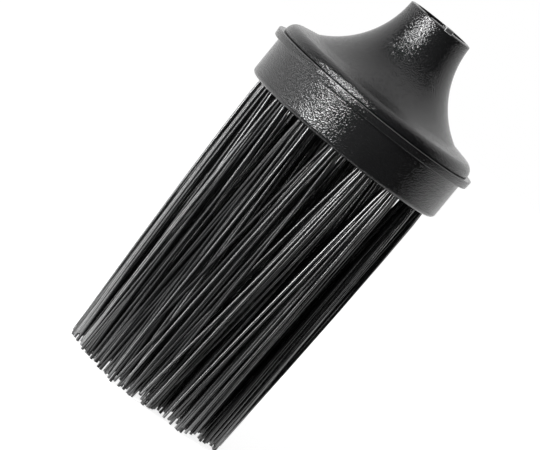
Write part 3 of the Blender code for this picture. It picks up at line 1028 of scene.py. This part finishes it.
def add_flag(studio, finish):
    """A dark tent on the camera's side, which only shows in the brush's reflections."""
    shape = bmesh.new()
    sides = [studio.flag_reach * (2 * j / FLAG_COLUMNS - 1) for j in range(FLAG_COLUMNS + 1)]
    rows = []
    for i in range(FLAG_ROWS + 1):
        up = studio.flag_height * i / FLAG_ROWS
        corners = [direction(side, up) * studio.flag_distance for side in sides]
        rows.append([shape.verts.new(corner) for corner in corners])
    for low, high in zip(rows, rows[1:]):
        for j in range(FLAG_COLUMNS):
            shape.faces.new((low[j], low[j + 1], high[j + 1], high[j]))
    middle = shape.verts.new((0, -studio.flag_gap, 0))
    for j in range(FLAG_COLUMNS):
        shape.faces.new((middle, rows[0][j + 1], rows[0][j]))
    bmesh.ops.translate(shape, verts=shape.verts, vec=(0, 0, CAD_BOX[0].z + FLAG_LIFT))
    flag = object_of("dark_flag", shape)
    flag.data.materials.append(finish)
    for rays in ("camera", "diffuse", "transmission", "shadow"):
        setattr(flag, "visible_" + rays, False)


def add_floor(studio, finish):
    """A round floor, just under the tips."""
    shape = bmesh.new()
    bmesh.ops.create_circle(
        shape,
        cap_ends=True,
        segments=TURN_STEPS,
        radius=studio.floor_radius,
        matrix=Matrix.Translation((0, 0, CAD_BOX[0].z - WELD)),
    )
    floor = object_of("studio_floor", shape)
    if floor.data.polygons[0].normal.z < 0:
        floor.data.flip_normals()
    floor.data.materials.append(finish)
    floor.visible_shadow = False  # the low light shines up through it


# Operators


def finish_piece(name, mesh, replaced):
    """Sets a finished piece on the brush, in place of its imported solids."""
    piece = new_object(name, mesh)
    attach(piece, "root")
    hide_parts(*replaced)


class BRUSH_OT_socket_bell(bpy.types.Operator):
    """Make the upper moulding, with its flare, its socket and its ribs"""

    bl_idname = "corner_brush.socket_bell"
    bl_label = "Socket Bell"

    def execute(self, context):
        brush = context.scene.corner_brush
        sizes, rim = brush.moulding, brush.rim
        at = moulding_places(sizes)
        finish = moulded_plastic("bell_black", brush.finish, brush.finish.bell_grain_depth)
        rib = object_of("bell_rib", rib_plate(sizes, at))
        shell = mesh_of("bell_shell", turned(bell_outline(sizes, at), True))
        values = {"Rib": rib, "Ribs": sizes.rib_count, "Finish": finish}
        ribbed = grown("bell_ribbed", shell, rib_tree(), values)
        bpy.data.objects.remove(rib)
        depth = sizes.neck_wall - sizes.mouth_chamfer + rim.lug_proud
        height = rim.lug_rise + rim.lug_drop
        lug_size = (depth, rim.lug_width, height)
        lug_place = radial_place(
            at.neck + rim.lug_proud - depth / 2,
            rim.lug_angle,
            at.mouth - rim.lug_drop + height / 2,
        )
        lug = boxed(lug_size, lug_place, rim.lug_bevel)
        deep = rim.notch_depth + OVERRUN
        notch_place = radial_place(
            sizes.bore_radius + sizes.neck_wall / 2,
            rim.notch_angle,
            at.mouth - rim.notch_depth + deep / 2,
        )
        notch = boxed((sizes.neck_wall + 2 * OVERRUN, rim.notch_width, deep), notch_place)
        mesh = carved("bell", ribbed, [(notch, "DIFFERENCE"), (lug, "UNION")])
        into_lug = lug_place.inverted()

        # The lug is pale, and the mouth's outer rim gets a painted highlight
        def pale_and_highlight(spot):
            if all(abs(away) <= side / 2 for away, side in zip(into_lug @ spot, lug_size)):
                return 1.0
            outside = spot.xy.length > sizes.bore_radius + sizes.mouth_chamfer
            on_rim = outside and spot.z > at.mouth - sizes.highlight_reach
            return sizes.painted_edge_highlight if on_rim else 0.0

        note_pale_and_highlight(mesh, pale_and_highlight)
        finish_piece("bell", smoothed(mesh), ["socket_bell"])
        return {"FINISHED"}


class BRUSH_OT_brush_block(bpy.types.Operator):
    """Make the lower moulding, with its flange and its drilled face"""

    bl_idname = "corner_brush.brush_block"
    bl_label = "Brush Block"

    def execute(self, context):
        brush = context.scene.corner_brush
        sizes = brush.moulding
        at = moulding_places(sizes)
        finish = moulded_plastic("block_black", brush.finish, brush.finish.block_grain_depth)
        points = bpy.data.meshes.new("hole_places")
        points.from_pydata(hole_places(), [], [])
        places = new_object("hole_places", points)
        block = mesh_of("block_body", turned(block_outline(sizes, at), False))
        # A drill is centred on the face, so only half of it is in the block
        values = {
            "Places": places,
            "Radius": sizes.hole_radius,
            "Depth": 2 * sizes.hole_depth,
            "Sides": HOLE_SIDES,
            "Finish": finish,
        }
        drilled = grown("block", block, drilling_tree(), values)
        bpy.data.objects.remove(places)

        # The flange's top outer edge gets a painted highlight
        def pale_and_highlight(spot):
            outside = spot.xy.length > at.flange - sizes.highlight_reach
            on_edge = outside and spot.z > at.top - sizes.highlight_reach
            return sizes.painted_edge_highlight if on_edge else 0.0

        note_pale_and_highlight(drilled, pale_and_highlight)
        finish_piece("block", smoothed(drilled), ["brush_block"])
        return {"FINISHED"}


class BRUSH_OT_bristles(bpy.types.Operator):
    """Grow the filaments of each ring of tufts out of their holes"""

    bl_idname = "corner_brush.bristles"
    bl_label = "Bristles"

    def execute(self, context):
        brush = context.scene.corner_brush
        sizes = brush.bristles
        finish = drawn_filament(brush.finish)
        tree = bristle_tree()
        chance = random.Random(sizes.seed)
        for number, ring in enumerate(RINGS):
            places = hole_places(ring)
            points = bpy.data.meshes.new(ring + "_places")
            points.from_pydata(places, [], [])
            leans, turns = [], []
            for i in range(len(places)):
                aside = [chance.uniform(-sizes.tuft_stray, sizes.tuft_stray) for _ in "xy"]
                if ring == "outer" and i in FRONT_LEANS:
                    aside[0] = FRONT_LEANS[i] * MM
                leans += [*aside, 0.0]
                turns.append(chance.uniform(0, math.tau))
            note(points, "lean", "FLOAT_VECTOR", "POINT", leans)
            note(points, "turn", "FLOAT", "POINT", turns)
            values = {"Face Height": places[0].z, "Seed": sizes.seed + number, "Finish": finish}
            for label in BRISTLE_COUNTS + BRISTLE_REACHES:
                values[label] = getattr(sizes, label.lower().replace(" ", "_"))
            mesh = grown(ring + "_bristles", points, tree, values)
            mesh.shade_smooth()
            finish_piece(ring + "_bristles", mesh, nodes_named(ring + "_tuft_"))
        return {"FINISHED"}


class BRUSH_OT_wire_anchors(bpy.types.Operator):
    """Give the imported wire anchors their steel"""

    bl_idname = "corner_brush.wire_anchors"
    bl_label = "Wire Anchors"

    def execute(self, context):
        steel = drawn_wire(context.scene.corner_brush.finish)
        for name in nodes_named("_anchor_"):
            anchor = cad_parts[name]
            for painted in anchor.material_slots:
                painted.material = steel
        return {"FINISHED"}


class BRUSH_OT_stage(bpy.types.Operator):
    """Make the floor, the light and the camera"""

    bl_idname = "corner_brush.stage"
    bl_label = "Stage"

    def execute(self, context):
        brush = context.scene.corner_brush
        studio = brush.studio
        add_floor(studio, studio_floor(brush.finish, studio))
        add_flag(studio, velvet())
        light_world(studio)
        for light in ("key", "low"):
            add_lamp(studio, light)
        add_camera(studio)
        context.scene.view_settings.view_transform = "Standard"
        return {"FINISHED"}


class CornerBrush(bpy.types.PropertyGroup):
    """All settings of the brush."""

    moulding: PointerProperty(type=MouldingSizes)
    rim: PointerProperty(type=RimSizes)
    bristles: PointerProperty(type=BristleSizes)
    finish: PointerProperty(type=FinishColours)
    studio: PointerProperty(type=StudioSettings)


OPERATORS = (
    BRUSH_OT_socket_bell,
    BRUSH_OT_brush_block,
    BRUSH_OT_bristles,
    BRUSH_OT_wire_anchors,
    BRUSH_OT_stage,
)


class BRUSH_PT_pieces(bpy.types.Panel):
    """Lists the pieces of the brush, with their sizes and colours."""

    bl_label = "Corner Brush"
    bl_idname = "BRUSH_PT_pieces"
    bl_space_type = "VIEW_3D"
    bl_region_type = "UI"
    bl_category = "Corner Brush"

    def draw(self, context):
        brush = context.scene.corner_brush
        for operator in OPERATORS:
            self.layout.operator(operator.bl_idname)
        for group in (brush.moulding, brush.rim, brush.bristles, brush.finish, brush.studio):
            box = self.layout.box()
            for name in group.__annotations__:
                box.prop(group, name)


CLASSES = (
    MouldingSizes,
    RimSizes,
    BristleSizes,
    FinishColours,
    StudioSettings,
    CornerBrush,
    *OPERATORS,
    BRUSH_PT_pieces,
)


def register():
    for cls in CLASSES:
        bpy.utils.register_class(cls)
    bpy.types.Scene.corner_brush = PointerProperty(type=CornerBrush)


def unregister():
    del bpy.types.Scene.corner_brush
    for cls in reversed(CLASSES):
        bpy.utils.unregister_class(cls)


def main():
    register()
    bpy.ops.corner_brush.socket_bell()
    bpy.ops.corner_brush.brush_block()
    bpy.ops.corner_brush.bristles()
    bpy.ops.corner_brush.wire_anchors()
    bpy.ops.corner_brush.stage()


if __name__ == "__main__":
    main()
